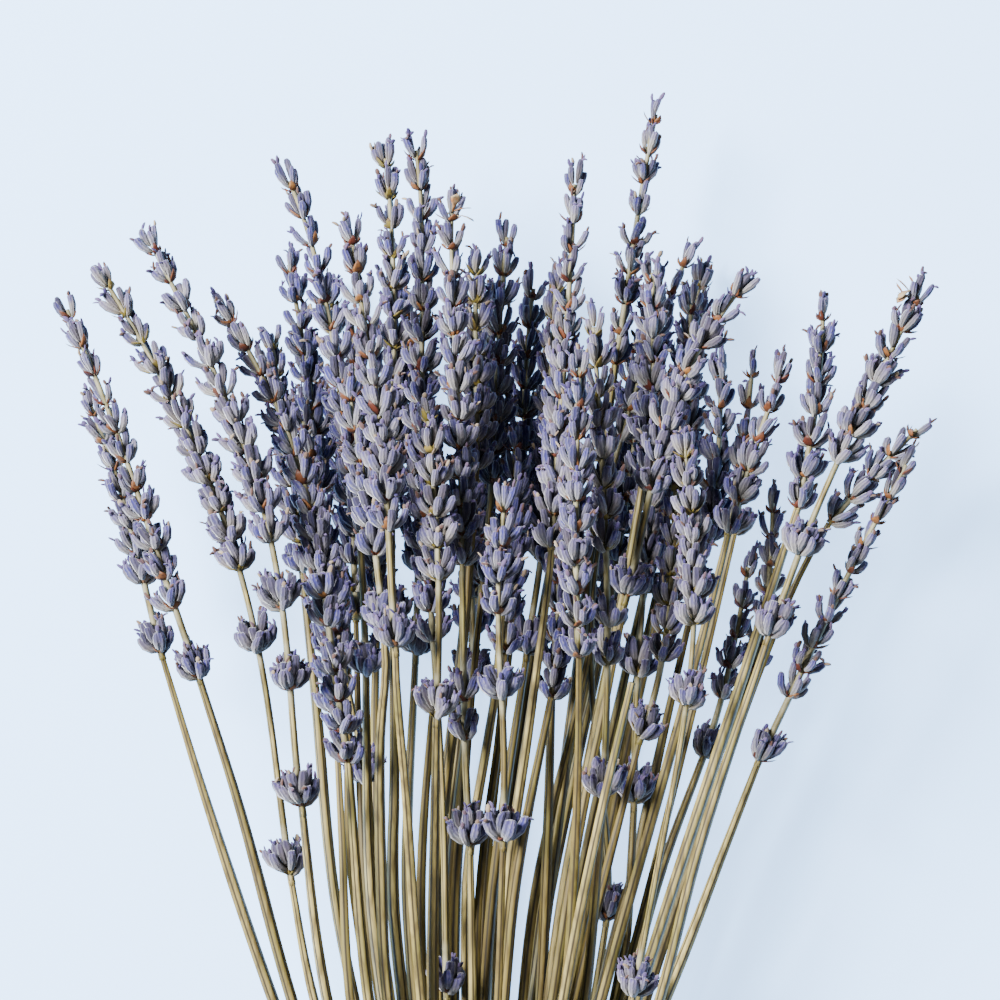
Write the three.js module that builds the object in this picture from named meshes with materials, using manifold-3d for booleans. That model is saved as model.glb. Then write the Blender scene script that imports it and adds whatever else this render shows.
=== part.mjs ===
// A bunch of dried lavender lying on its side: cut stems gathered by a rubber band, each ending in a
// flower head whose calyxes stand round it in whorls. Millimetres; +Y runs from the band to the tips.
import * as THREE from "three";
import { mergeVertices } from "three/addons/utils/BufferGeometryUtils.js";
import Module from "manifold-3d";

const wasm = await Module();
wasm.setup();

// ---- Driving dimensions ----
const mmPerPixel = 0.23; // a calyx is 6 mm long and spans 26 pixels of the photograph
const photoMiddle = 500; // the middle of the photograph, in pixels, both ways
const bandPixel = { x: 478, y: 1480 }; // where the stems meet, below the photograph's edge
const viewDistance = 1200; // from the lens to the table
const viewLevel = 35; // the height at which the photograph has mmPerPixel
const levelPixel = 590; // from here up in the photograph the layers lie level

const seatGap = 0.3; // between pieces that touch
const stemSize = {
  width: 2.0, // lavender stems are square
  rowPitch: 2.4, // from row to row in the band
  slotPitch: 1.88, // from stem to stem of one row, which press into each other
  bandReach: 4, // they run side by side this far above and below the band's middle
  tailLength: 56, // of the cut ends below the band
  tailSpread: 1.5, // how far those part, as a multiple of their places in the band
  tailRise: 1.3, // and of the rows' heights
  tailFloor: 0.1, // the lowest ones end this far above the table
  straightness: 0.5, // a bend smaller than this is left out
};
const rowCounts = [7, 8, 9, 10, 9, 8, 7]; // stems side by side in the band, row by row from the table up
const bandSize = { width: 7, thickness: 1.6, turns: 3, shoulder: 0.6, flute: 0.3 };

const headSize = {
  radius: 6.7, // from the rachis to the tips of the widest whorls
  tipSize: 0.42, // the topmost whorl, as a share of the widest
  taper: 1.1, // how late along the head that narrowing comes
  whorlPitch: 10.8,
  leastWhorls: 3,
  lowSize: 0.85, // a separate whorl below the head, as a share of the widest
  layerHeight: 9.2, // from layer to layer of the bunch
};
const calyxSize = {
  perWhorl: 5,
  length: 11, // larger than life, as a whorl has fewer of them than the real one
  upright: 0.45, // how much of its length a calyx of a slender whorl reaches along the rachis
  belly: { along: 0.4, out: 0.84 },
  groove: { along: 0.55, out: 0.4 }, // between two calyxes
  foot: 0.7, // from a whorl's roots to where the bare rachis starts again above it
  loose: 0.1, // how unevenly they stand
};
const rachisSize = { radius: 1.0, swell: 1.7 }; // it is swollen where a wide whorl stands on it

// How the sprigs give way to one another. They are laid out level by level along Y.
const settling = {
  step: 8, // from level to level
  below: 8, // levels below the band
  rounds: 700,
  unsmoothed: 2, // of those, at the end
  bundle: 45, // up to here above the band the stems lie too close for more than their rows' order
  rowClearance: 0.4, // between rows there
  rowReach: 6, // as far as this to the side
  clearance: 0.85, // between neighbours above
  sideways: 0.45, // how much of a push goes sideways rather than up and down
  leastShare: 0.25, // of a push, that the wider neighbour takes
  bend: 0.35, // how quickly a line straightens
  hold: { x: 0.1, z: 0.012 }, // how firmly it keeps to where the photograph shows it
  stemRoom: 1.24, // half a stem's room
  whorlRoom: 0.9, // a separate whorl's room as a share of the head's
  whorlReach: 0.8, // of a calyx's length, that it takes up and down from its middle
  roomFade: 20, // beyond that, a sprig's room narrows over this length to a stem's
  tableRoom: 0.93, // of its room, that a line keeps above the table
};

// The heads that the photograph shows, in pixels, one list for each layer from the table up. Each runs
// from the tip of its head to the head's foot. low holds the distances from there down to the separate
// whorls below, stem the places that the stem passes and girth how wide the head is.
const seen = [
  [],
  [
    { head: [[266, 318], [286, 420], [306, 570]] },
    { head: [[537, 266], [518, 400], [522, 540]] },
    { head: [[690, 283], [693, 340], [686, 470]], low: [95] },
    { girth: 0.65, head: [[772, 480], [774, 570], [763, 667]], stem: [[690, 820], [650, 990]] },
  ],
  [
    { head: [[285, 243], [303, 330], [322, 490]], low: [150, 225], stem: [[340, 760], [344, 1000]] },
    { head: [[511, 215], [500, 290], [492, 480]], low: [110] },
    { girth: 0.65, head: [[661, 92], [643, 172], [625, 305]], low: [55], stem: [[616, 370]] },
    { girth: 0.75, head: [[697, 238], [664, 300], [622, 430]], low: [500], stem: [[611, 930], [600, 1000]] },
    { head: [[640, 400], [642, 590]], low: [90, 220], stem: [[632, 690], [637, 810], [620, 1000]] },
    { head: [[720, 350], [722, 420], [710, 540]] },
    {
      girth: 0.65, head: [[752, 545], [742, 600], [729, 692]], low: [66],
      stem: [[705, 760], [660, 870], [630, 980]],
    },
  ],
  [
    {
      girth: 0.8, head: [[74, 385], [108, 440], [128, 500], [142, 578]], low: [78],
      stem: [[160, 658], [213, 830], [268, 1000]],
    },
    { head: [[300, 400], [322, 520], [342, 640]], low: [150], stem: [[372, 800], [385, 1000]] },
    { head: [[382, 137], [396, 230], [393, 400], [394, 480]], low: [150] },
    { head: [[478, 243], [473, 330], [482, 470]] },
    { head: [[480, 420], [500, 520], [515, 640]] },
    { head: [[550, 380], [561, 480], [553, 580]], low: [45, 115], stem: [[550, 700], [544, 1000]] },
    { head: [[650, 250], [656, 320], [650, 470]] },
    { girth: 0.7, head: [[755, 345], [749, 400], [735, 530]] },
    { girth: 0.85, head: [[934, 414], [884, 460], [815, 520]], stem: [[745, 710], [652, 985]] },
  ],
  [
    {
      girth: 0.85, head: [[57, 289], [95, 370], [131, 470], [172, 602]], low: [78],
      stem: [[200, 680], [245, 830], [285, 1000]],
    },
    { head: [[278, 162], [304, 205], [326, 280], [348, 430], [360, 530]], low: [150] },
    {
      head: [[413, 128], [424, 200], [421, 320], [430, 450], [432, 540]], low: [80, 460],
      stem: [[440, 800], [447, 1000]],
    },
    { head: [[345, 370], [376, 552]], low: [80], stem: [[378, 800], [382, 1000]] },
    { head: [[576, 161], [571, 270], [560, 420], [556, 545]] },
    {
      girth: 0.8, head: [[660, 460], [673, 640]], low: [100],
      stem: [[640, 740], [613, 850], [575, 1000]],
    },
    { girth: 0.85, head: [[788, 352], [763, 425], [727, 530]] },
    { girth: 0.9, head: [[823, 288], [822, 380], [804, 505]], stem: [[735, 700], [640, 1000]] },
  ],
  [
    {
      head: [[94, 262], [132, 328], [180, 400], [212, 480], [239, 562]], low: [88, 318],
      stem: [[263, 655], [279, 760], [286, 880], [306, 1000]],
    },
    {
      head: [[212, 297], [262, 358], [295, 440], [318, 520], [331, 605]], low: [85, 150],
      stem: [[346, 700], [362, 1000]],
    },
    {
      head: [[452, 188], [451, 300], [459, 400], [455, 560]], low: [160, 290],
      stem: [[462, 720], [472, 850], [471, 1000]],
    },
    { head: [[428, 390], [440, 575]], low: [145], stem: [[438, 680], [430, 1000]] },
    {
      head: [[592, 305], [600, 420], [607, 545]], low: [95, 255],
      stem: [[609, 660], [605, 800], [590, 1000]],
    },
    { head: [[755, 272], [708, 318], [672, 380], [650, 480]], low: [120] },
    {
      girth: 0.65, head: [[917, 445], [885, 505], [843, 580], [797, 687]], low: [75],
      stem: [[757, 762], [705, 910], [674, 1000]],
    },
  ],
  [
    {
      head: [[141, 226], [178, 290], [216, 375], [250, 450], [273, 517]], low: [92, 172, 290],
      stem: [[292, 690], [299, 810], [318, 1000]],
    },
    {
      head: [[350, 212], [358, 300], [384, 420], [391, 510]], low: [138],
      stem: [[399, 650], [410, 900]],
    },
    { head: [[507, 480], [492, 610]], low: [90, 235], stem: [[505, 700], [503, 850], [500, 1000]] },
    { head: [[580, 345], [577, 450], [577, 592]], low: [56], stem: [[584, 650], [570, 1000]] },
    {
      head: [[682, 425], [691, 500], [700, 610]], low: [90, 390],
      stem: [[690, 700], [665, 850], [641, 1000]],
    },
    {
      head: [[927, 275], [900, 335], [843, 447]], low: [104, 190],
      stem: [[797, 552], [735, 740], [700, 850], [664, 1000]],
    },
  ],
];
// Where a stem that has lost its head ends, one in each layer.
const bareTops = [[345, 600], [655, 600], [440, 620], [590, 640], [505, 600], [551, 700], [632, 685]];
// The heads hidden behind those fill this space, in pixels.
const hidden = {
  left: 285,
  right: 745,
  top: { from: 250, to: 380 },
  length: { from: 242, to: 314 },
  place: { from: 0.3, to: 0.7 }, // of its share of the space
  lean: 0.18, // how far a head's foot stands nearer the bunch's middle than its tip
  lowShare: 0.5, // of them, that have a separate whorl
  low: { from: 60, to: 110 },
};
const sortPixel = 900; // sprigs take their slots in the order in which they pass this height
const sortSpread = { from: 285, to: 700 }; // and there lie side by side from here to here
const tailShare = { from: 0.85, to: 1.1 }; // of the tails' length

const colours = { head: 0x7d83a6, stem: 0x9c9366, band: 0xb48a58 };
const roughness = { head: 0.85, stem: 0.75, band: 0.6 };

// ---- Small helpers ----
// A repeatable run of draws from 0 to 1: a 32-bit count, its bits mixed by shifts and products.
function makeDraw(seed) {
  let state = seed;
  return () => {
    state = (state + 0x6d2b79f5) | 0;
    let bits = Math.imul(state ^ (state >>> 15), 1 | state);
    bits = (bits + Math.imul(bits ^ (bits >>> 7), 61 | bits)) ^ bits;
    return ((bits ^ (bits >>> 14)) >>> 0) / 2 ** 32;
  };
}
const draw = makeDraw(17);
const mix = THREE.MathUtils.lerp;
const clamp = THREE.MathUtils.clamp;
const between = ({ from, to }) => mix(from, to, draw());
const either = (size) => mix(-size, size, draw());
const last = (list) => list[list.length - 1];

// A point of the photograph as a place at height z: what is nearer the lens looks larger.
function fromPhoto([px, py], z) {
  const scale = (mmPerPixel * (viewDistance - z)) / (viewDistance - viewLevel);
  return { x: (px - photoMiddle) * scale, y: (photoMiddle - py) * scale };
}

// A closed mesh of triangles as a solid, and back.
function solidOf(geometry) {
  const bare = new THREE.BufferGeometry().setAttribute("position", geometry.getAttribute("position"));
  bare.setIndex(geometry.index);
  const merged = mergeVertices(bare);
  const vertProperties = merged.getAttribute("position").array;
  const triVerts = new Uint32Array(merged.index.array);
  return new wasm.Manifold(new wasm.Mesh({ numProp: 3, vertProperties, triVerts }));
}
function geometryOf(solid) {
  const { vertProperties, triVerts, numProp } = solid.getMesh();
  const places = new Float32Array((vertProperties.length / numProp) * 3);
  for (let i = 0; i * numProp < vertProperties.length; i++) {
    places.set(vertProperties.subarray(i * numProp, i * numProp + 3), i * 3);
  }
  const geometry = new THREE.BufferGeometry();
  geometry.setAttribute("position", new THREE.BufferAttribute(places, 3));
  geometry.setIndex(new THREE.BufferAttribute(new Uint32Array(triVerts), 1));
  return geometry;
}
function geometryFrom(points, faces) {
  const geometry = new THREE.BufferGeometry().setFromPoints(points);
  geometry.setIndex(faces);
  return geometry;
}

// ---- Layout: every sprig is a line from its cut end, through its slot in the band, to its tip ----
const band = fromPhoto([bandPixel.x, bandPixel.y], viewLevel);
const levelY = fromPhoto([photoMiddle, levelPixel], viewLevel).y;
const layerHeight = (row) => headSize.radius + headSize.layerHeight * row;
const slotHeight = (row) => bandSize.thickness + seatGap + stemSize.width / 2 + stemSize.rowPitch * row;
const tailHeight = (row) => {
  return stemSize.tailFloor + stemSize.width / 2 + stemSize.rowPitch * stemSize.tailRise * row;
};

// A hidden head, in its share of the space behind the ones that show.
function hiddenHead(share) {
  const x = mix(hidden.left, hidden.right, share);
  const y = between(hidden.top);
  const foot = [mix(x, bandPixel.x, hidden.lean), y + between(hidden.length)];
  return { head: [[x, y], foot], low: draw() < hidden.lowShare ? [between(hidden.low)] : [] };
}

// The x of a path of [x, y] points at height y, with the points in order of height.
function xAt(path, y) {
  const first = path.findIndex((point) => (point[1] - y) * (path[0][1] - y) <= 0);
  const next = clamp(first, 1, path.length - 1);
  const [a, b] = [path[next - 1], path[next]];
  return mix(a[0], b[0], (y - a[1]) / (b[1] - a[1]));
}

// The heads of a row, those in the photograph and the others.
function rowHeads(count, row) {
  const [bareX, bareY] = bareTops[row];
  const heads = [...seen[row], { head: [[bareX, bareY], [bareX, bareY + 1]], bare: true }];
  const unseen = count - heads.length;
  for (let i = 0; i < unseen; i++) heads.push(hiddenHead((i + between(hidden.place)) / unseen));
  return heads;
}
const passing = ({ head, stem = [] }) => xAt([...head, ...stem, [bandPixel.x, bandPixel.y]], sortPixel);
const inOrder = (heads) => [...heads].sort((a, b) => passing(a) - passing(b));

// The stems that have no places of their own pass sortPixel side by side, evenly among all.
function spreadStems(heads) {
  inOrder(heads).forEach((entry, i) => {
    const x = mix(sortSpread.from, sortSpread.to, (i + 0.5) / heads.length);
    entry.stem = entry.stem || [[x, sortPixel]];
  });
}

// Puts a row's heads in their slots, left to right, and takes their places from the photograph.
function makeRow(heads, row) {
  const count = heads.length;
  return inOrder(heads).map(({ head, stem, low = [], girth = 1, bare = false }, slot) => {
    const z = layerHeight(row);
    const place = (slot - (count - 1) / 2) * stemSize.slotPitch;
    const path = [...head, ...stem].map((point) => fromPhoto(point, z)).map(({ x, y }) => [x, y]);
    path.push([band.x + place, band.y + stemSize.bandReach]);
    const [tip, foot] = [path[0][1], path[head.length - 1][1]];
    const drops = low.map((distance) => distance * mmPerPixel);
    const tail = between(tailShare) * stemSize.tailLength;
    return { bare, girth, row, place, path, tip, foot, z, low: drops, tail };
  });
}

// The course of a sprig at level y, before its neighbours push it.
function course(sprig, y) {
  const { row, place } = sprig;
  const { bandReach, tailLength, tailSpread } = stemSize;
  if (y < band.y) {
    const part = Math.max(0, (band.y - bandReach - y) / tailLength);
    const x = band.x + mix(place, place * tailSpread, part);
    return { x, z: mix(slotHeight(row), tailHeight(row), part) };
  }
  const rise = clamp((y - band.y - bandReach) / (levelY - band.y - bandReach), 0, 1);
  return { x: xAt(sprig.path, y), z: mix(slotHeight(row), sprig.z, rise) };
}

// The size of a head's whorls along it, from its foot at 0 to its tip at 1.
const sizeAlong = (along) => mix(1, headSize.tipSize, clamp(along, 0, 1) ** headSize.taper);

// Half the room that a sprig takes at level y: its head, a separate whorl or its bare stem.
function roomAt(sprig, y) {
  const { foot, tip, low, bare } = sprig;
  const room = headSize.radius * sprig.girth;
  const slant = Math.hypot(1, xAt(sprig.path, y + 1) - xAt(sprig.path, y));
  if (y > foot && !bare) return room * sizeAlong((y - foot) / (tip - foot)) * slant;
  const gaps = low.map((drop) => Math.abs(foot - drop + calyxSize.length / 2 - y));
  if (!bare) gaps.push(foot - y + calyxSize.length / 2);
  const near = calyxSize.length * settling.whorlReach;
  const fade = THREE.MathUtils.smoothstep(Math.min(...gaps), near, near + settling.roomFade);
  return mix(room * settling.whorlRoom, settling.stemRoom, fade);
}

// Pushes apart whatever comes too near at each level, mostly up and down, and smooths every sprig again.
function settle(sprigs, levels) {
  const first = levels.findIndex((y) => y > band.y + bandSize.width * 2);
  for (const sprig of sprigs) {
    sprig.line = levels.map((y) => ({ y, ...course(sprig, y), room: roomAt(sprig, y) }));
    sprig.aim = sprig.line.map(({ x, z }) => ({ x, z }));
    sprig.last = levels.findLastIndex((y) => y <= sprig.tip);
  }
  for (let round = 0; round < settling.rounds; round++) {
    for (let l = first; l < levels.length; l++) {
      const push = levels[l] < band.y + settling.bundle ? pushRows : pushApart;
      for (let i = 0; i < sprigs.length; i++) {
        for (let j = i + 1; j < sprigs.length; j++) push(sprigs[i], sprigs[j], l);
      }
    }
    if (round < settling.rounds - settling.unsmoothed) sprigs.forEach((sprig) => smooth(sprig, first));
  }
}
// Near the band the rows only keep clear of one another.
function pushRows(one, other, l) {
  const a = one.line[l];
  const b = other.line[l];
  const short = stemSize.width + settling.rowClearance - Math.abs(b.z - a.z);
  if (one.row === other.row || short <= 0 || Math.abs(b.x - a.x) > settling.rowReach) return;
  const push = (short / 2) * Math.sign(other.row - one.row);
  a.z -= push;
  b.z += push;
}
function pushApart(one, other, l) {
  if (l > one.last || l > other.last) return;
  const a = one.line[l];
  const b = other.line[l];
  const dx = b.x - a.x;
  const dz = b.z - a.z || seatGap;
  const short = a.room + b.room + settling.clearance - Math.hypot(dx, dz);
  if (short <= 0) return;
  const push = short / 2 / Math.hypot(dx * settling.sideways, dz);
  // The share of the narrower of the two is the larger: a bare stem gives way to a head.
  const share = clamp(b.room / (a.room + b.room), settling.leastShare, 1 - settling.leastShare);
  a.x -= dx * settling.sideways * push * share;
  a.z -= dz * push * share;
  b.x += dx * settling.sideways * push * (1 - share);
  b.z += dz * push * (1 - share);
}
function smooth(sprig, first) {
  const { line, aim } = sprig;
  // Where a sprig that was pushed up or down must be to show in the same place of the photograph.
  const seenAt = aim.map(({ x, z }, l) => (x * (viewDistance - line[l].z)) / (viewDistance - z));
  for (const axis of ["x", "z"]) {
    const before = line.map((point) => point[axis]);
    for (let l = first; l <= sprig.last; l++) {
      const next = l < sprig.last ? before[l + 1] : 2 * before[l] - before[l - 1];
      const bend = (before[l - 1] + next) / 2 - before[l];
      const target = axis === "x" ? seenAt[l] : aim[l].z;
      line[l][axis] += settling.bend * bend + settling.hold[axis] * (target - before[l]);
    }
  }
  for (let l = first; l <= sprig.last; l++) {
    line[l].z = Math.max(line[l].z, line[l].room * settling.tableRoom);
  }
}

// ---- A head: rings round the rachis, raised at each whorl into calyxes with free tips ----
// Per calyx a whorl has a point at its root, belly, groove and tip. The next whorl is turned by half a
// calyx.
function headGeometry(rachis, whorls) {
  const points = [];
  const faces = [];
  const length = rachis.getLength();
  const count = calyxSize.perWhorl;
  const ring = (s, radius, turn, loose = 0) => {
    const u = clamp(s / length, 0, 1);
    const centre = rachis.getPointAt(u);
    const way = rachis.getTangentAt(u);
    const side = new THREE.Vector3().crossVectors(way, new THREE.Vector3(0, 0, 1)).normalize();
    const up = new THREE.Vector3().crossVectors(side, way);
    return Array.from({ length: count }, (_, k) => {
      const angle = ((k + turn) / count) * 2 * Math.PI + either(loose);
      const out = radius * (1 - Math.abs(either(loose)));
      const point = centre.clone().addScaledVector(way, 2 * either(loose));
      point.addScaledVector(side, Math.cos(angle) * out).addScaledVector(up, Math.sin(angle) * out);
      return points.push(point) - 1;
    });
  };
  const cap = (edge) => {
    for (let k = 1; k < count - 1; k++) faces.push(edge[0], edge[k], edge[k + 1]);
  };
  let turn = draw();
  let root = ring(whorls[0].at, rachisSize.radius, turn);
  cap(root);
  whorls.forEach(({ at, size, pitch }, w) => {
    const reach = calyxReach(size);
    const out = headSize.radius * size;
    const swollen = rachisSize.radius * mix(1, rachisSize.swell, size);
    const { belly, groove, loose } = calyxSize;
    const bellies = ring(at + belly.along * reach, belly.out * out, turn, loose);
    const grooves = ring(at + groove.along * reach, groove.out * out, turn + 0.5);
    const tips = ring(at + reach, out, turn, loose);
    const next = ring(at + pitch, swollen, turn + 0.5);
    for (let k = 0; k < count; k++) {
      const after = (k + 1) % count;
      const before = (k + count - 1) % count;
      faces.push(root[k], grooves[before], bellies[k], root[k], bellies[k], grooves[k]);
      faces.push(root[k], grooves[k], root[after]);
      faces.push(grooves[before], tips[k], bellies[k], bellies[k], tips[k], grooves[k]);
      faces.push(grooves[k], tips[k], next[k], tips[k], grooves[before], next[before]);
      faces.push(tips[k], next[before], next[k]);
    }
    turn += 0.5;
    root = next;
    const following = whorls[w + 1];
    if (following && following.at > at + pitch + seatGap) {
      const upper = ring(following.at, rachisSize.radius, turn);
      for (let k = 0; k < count; k++) {
        const after = (k + 1) % count;
        faces.push(root[k], upper[k], upper[after], root[k], upper[after], root[after]);
      }
      root = upper;
    }
  });
  cap(root.reverse());
  return geometryFrom(points, faces);
}

// Where a head's whorls sit, from its lowest separate whorl to its tip, and their sizes.
function whorlsOf(headLength, { low, girth }) {
  const apart = [...low].sort((a, b) => b - a);
  const start = apart[0] || 0;
  const size = headSize.lowSize * girth;
  const whorls = apart.map((drop) => ({ at: start - drop, size, pitch: calyxSize.foot * calyxSize.length }));
  const tipReach = calyxReach(headSize.tipSize * girth);
  const rows = Math.max(headSize.leastWhorls, Math.round(headLength / headSize.whorlPitch));
  const pitch = (headLength - tipReach) / (rows - 1);
  for (let w = 0; w < rows; w++) {
    whorls.push({ at: start + pitch * w, size: sizeAlong(w / (rows - 1)) * girth, pitch });
  }
  last(whorls).pitch = calyxSize.foot * tipReach;
  return whorls;
}
// How far along the rachis the calyxes of a whorl reach: slender whorls have upright, shorter ones.
const calyxReach = (size) => calyxSize.length * mix(calyxSize.upright, 1, size);

// ---- Stems: square rods along their lines, those of one row fused where the band presses them ----
// Leaves out the points of a line that lie nearly straight between their neighbours.
function thinned(points) {
  const [a, b] = [points[0], last(points)];
  const chord = new THREE.Line3(a, b);
  const gaps = points.map((p) => chord.closestPointToPoint(p, true, new THREE.Vector3()).distanceTo(p));
  const worst = gaps.indexOf(Math.max(...gaps));
  if (points.length < 3 || gaps[worst] < stemSize.straightness) return [a, b];
  return [...thinned(points.slice(0, worst + 1)).slice(0, -1), ...thinned(points.slice(worst))];
}
function rodGeometry(points) {
  const corners = [];
  const faces = [];
  const half = stemSize.width / 2;
  const round = [[-1, -1], [1, -1], [1, 1], [-1, 1]];
  points.forEach((p, i) => {
    for (const [x, z] of round) corners.push(new THREE.Vector3(p.x + x * half, p.y, p.z + z * half));
    if (i === 0) return;
    for (let k = 0; k < 4; k++) {
      const [a, b] = [4 * (i - 1) + k, 4 * (i - 1) + ((k + 1) % 4)];
      faces.push(a, a + 4, b, b, a + 4, b + 4);
    }
  });
  const end = corners.length - 4;
  faces.push(0, 1, 2, 0, 2, 3, end, end + 2, end + 1, end, end + 3, end + 2);
  return geometryFrom(corners, faces);
}

// ---- The rubber band: a few turns side by side, run round the outline of the bundle ----
function bandGeometry() {
  const { width, thickness, turns, shoulder, flute } = bandSize;
  const middleRow = (rowCounts.length - 1) / 2;
  const halfWidth = (row) => ((rowCounts[row] - 1) / 2) * stemSize.slotPitch + stemSize.width / 2;
  const corner = { x: halfWidth(0), z: middleRow * stemSize.rowPitch + stemSize.width / 2 };
  const flank = { x: halfWidth(middleRow), z: stemSize.width / 2 };
  // The outline at a distance out from the stems, one quarter mirrored to the other three.
  const outline = (out) => {
    const quarter = [
      [corner.x + 0.4 * out, corner.z + out],
      [corner.x + 0.95 * out, corner.z + 0.6 * out],
      [flank.x + out, flank.z],
    ];
    const mirrored = (sx, sz) => quarter.map(([x, z]) => [sx * x, sz * z]);
    return [
      ...mirrored(1, -1), ...mirrored(1, 1).reverse(), ...mirrored(-1, 1), ...mirrored(-1, -1).reverse(),
    ];
  };
  // The section: flat against the stems, and a rounded back for each turn.
  const turnWidth = width / turns;
  const edge = seatGap + shoulder * thickness;
  const back = seatGap + thickness;
  const section = [[-width / 2, seatGap], [-width / 2, edge]];
  for (let turn = 0; turn < turns; turn++) {
    const y = (turn + 0.5) * turnWidth - width / 2;
    section.push([y - flute * turnWidth, back], [y + flute * turnWidth, back], [y + turnWidth / 2, edge]);
  }
  section.push([width / 2, seatGap]);
  const points = [];
  const faces = [];
  const height = slotHeight(middleRow);
  for (const [along, out] of section) {
    for (const [x, z] of outline(out)) {
      points.push(new THREE.Vector3(band.x + x, band.y + along, height + z));
    }
  }
  const round = points.length / section.length;
  for (let i = 0; i < section.length; i++) {
    for (let k = 0; k < round; k++) {
      const [near, far] = [i * round, ((i + 1) % section.length) * round];
      const next = (k + 1) % round;
      faces.push(near + k, far + k, near + next, near + next, far + k, far + next);
    }
  }
  return geometryFrom(points, faces);
}

// ---- Assembly ----
const headRows = rowCounts.map(rowHeads);
spreadStems(headRows.flat());
const rows = headRows.map(makeRow);
const sprigs = rows.flat();
const highest = Math.max(...sprigs.map((sprig) => sprig.tip));
const levels = [];
const lowest = band.y - stemSize.bandReach - settling.below * settling.step;
for (let y = lowest; y < highest + settling.step; y += settling.step) levels.push(y);
settle(sprigs, levels);

const table = solidOf(new THREE.BoxGeometry(1000, 1000, 100).translate(0, 0, -50));
const pieces = [];
function addPiece(kind, name, solid) {
  const finish = { color: colours[kind], roughness: roughness[kind], metalness: 0 };
  const mesh = new THREE.Mesh(geometryOf(solid), new THREE.MeshStandardMaterial(finish));
  mesh.name = name;
  pieces.push(mesh);
}

// A sprig's settled line as points, from its cut end to just past its tip.
function lineOf(sprig) {
  const points = sprig.line.slice(0, sprig.last + 1).map(({ x, y, z }) => new THREE.Vector3(x, y, z));
  const end = last(points);
  const way = end.clone().sub(points[points.length - 2]);
  points.push(end.clone().addScaledVector(way, (sprig.tip - end.y + seatGap) / way.y));
  return points;
}
// The point of a line at level y.
function pointAtLevel(points, y) {
  const above = Math.max(1, points.findIndex((p) => p.y >= y));
  const [a, b] = [points[above - 1], points[above]];
  return a.clone().lerp(b, (y - a.y) / (b.y - a.y));
}
// The points of a line above level from and below level to.
const pointsBetween = (points, from, to) => points.filter((p) => p.y > from + 1 && p.y < to - 1);

let headNumber = 0;
rows.forEach((row, r) => {
  let rods = null;
  for (const sprig of row) {
    const points = lineOf(sprig);
    const apart = Math.max(0, ...sprig.low);
    const foot = sprig.bare ? sprig.tip : sprig.foot - apart;
    let end = pointAtLevel(points, foot);
    if (!sprig.bare) {
      const rachis = new THREE.CatmullRomCurve3([end, ...pointsBetween(points, foot, Infinity)]);
      const whorls = whorlsOf(rachis.getLength() - apart, sprig);
      headNumber += 1;
      const name = "head_" + String(headNumber).padStart(2, "0");
      addPiece("head", name, solidOf(headGeometry(rachis, whorls)).subtract(table));
      const way = rachis.getTangentAt(0);
      end = pointAtLevel(points, foot - seatGap - rachisSize.radius * Math.abs(way.x / way.y));
    }
    const cut = pointAtLevel(points, band.y - sprig.tail);
    const tail = [cut, ...pointsBetween(points, cut.y, band.y)];
    const upper = [...pointsBetween(points, band.y, end.y), end];
    const rod = solidOf(rodGeometry([...thinned(tail), ...thinned(upper)]));
    rods = rods ? rods.add(rod) : rod;
  }
  addPiece("stem", "stems_" + (r + 1), rods);
});
addPiece("band", "band", solidOf(bandGeometry()));

// The origin is under the middle of the bunch, on the table.
const bunch = new THREE.Group();
bunch.add(...pieces);
const box = new THREE.Box3().setFromObject(bunch);
const centre = box.getCenter(new THREE.Vector3());
bunch.position.set(-centre.x, -centre.y, -box.min.z);

export default bunch;
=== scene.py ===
import bpy
import numpy as np
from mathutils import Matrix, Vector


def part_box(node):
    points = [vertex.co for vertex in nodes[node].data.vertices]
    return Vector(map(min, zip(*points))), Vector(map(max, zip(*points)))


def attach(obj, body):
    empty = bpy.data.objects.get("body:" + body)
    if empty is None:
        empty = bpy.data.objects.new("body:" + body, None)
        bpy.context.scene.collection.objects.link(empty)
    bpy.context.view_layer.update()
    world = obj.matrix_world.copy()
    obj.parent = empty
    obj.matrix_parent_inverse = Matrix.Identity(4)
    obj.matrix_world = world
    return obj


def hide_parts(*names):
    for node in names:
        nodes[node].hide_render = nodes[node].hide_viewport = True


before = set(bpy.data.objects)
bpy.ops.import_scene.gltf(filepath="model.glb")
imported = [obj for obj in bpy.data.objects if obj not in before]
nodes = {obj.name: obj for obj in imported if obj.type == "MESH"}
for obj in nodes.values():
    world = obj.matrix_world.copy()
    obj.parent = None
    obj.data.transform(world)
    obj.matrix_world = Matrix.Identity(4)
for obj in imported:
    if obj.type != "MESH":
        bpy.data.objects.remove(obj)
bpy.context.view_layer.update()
mm = 0.001
turn = 2 * np.pi
print("frame loaded,", len(nodes), "nodes")


# the corners of a CAD node, each once, and its triangles as rows of three corner numbers
def readNode(name):
    data = nodes[name].data
    flat = np.empty(len(data.vertices) * 3, np.float32)
    data.vertices.foreach_get("co", flat)
    corners, which = np.unique(np.round(flat.reshape(-1, 3), 6), axis=0, return_inverse=True)
    loops = np.empty(len(data.loops), np.int32)
    data.loops.foreach_get("vertex_index", loops)
    return corners.astype(float), which.reshape(-1)[loops].reshape(-1, 3)


# directions, each divided by its length
def unit(vectors):
    return vectors / np.linalg.norm(vectors, axis=-1, keepdims=True)


# directions square to a line: one level and one square to both
def sideways(way):
    side = unit(np.cross(way, [0, 0, 1]))
    return side, np.cross(side, way)


midline = {
    "short": 70 * mm,
    "degrees": (3, 5),  # of the polynomials of a head shorter than this, and of a longer one
    "foot": 0.8 * mm,
    "footWeight": 6,
}


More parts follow.
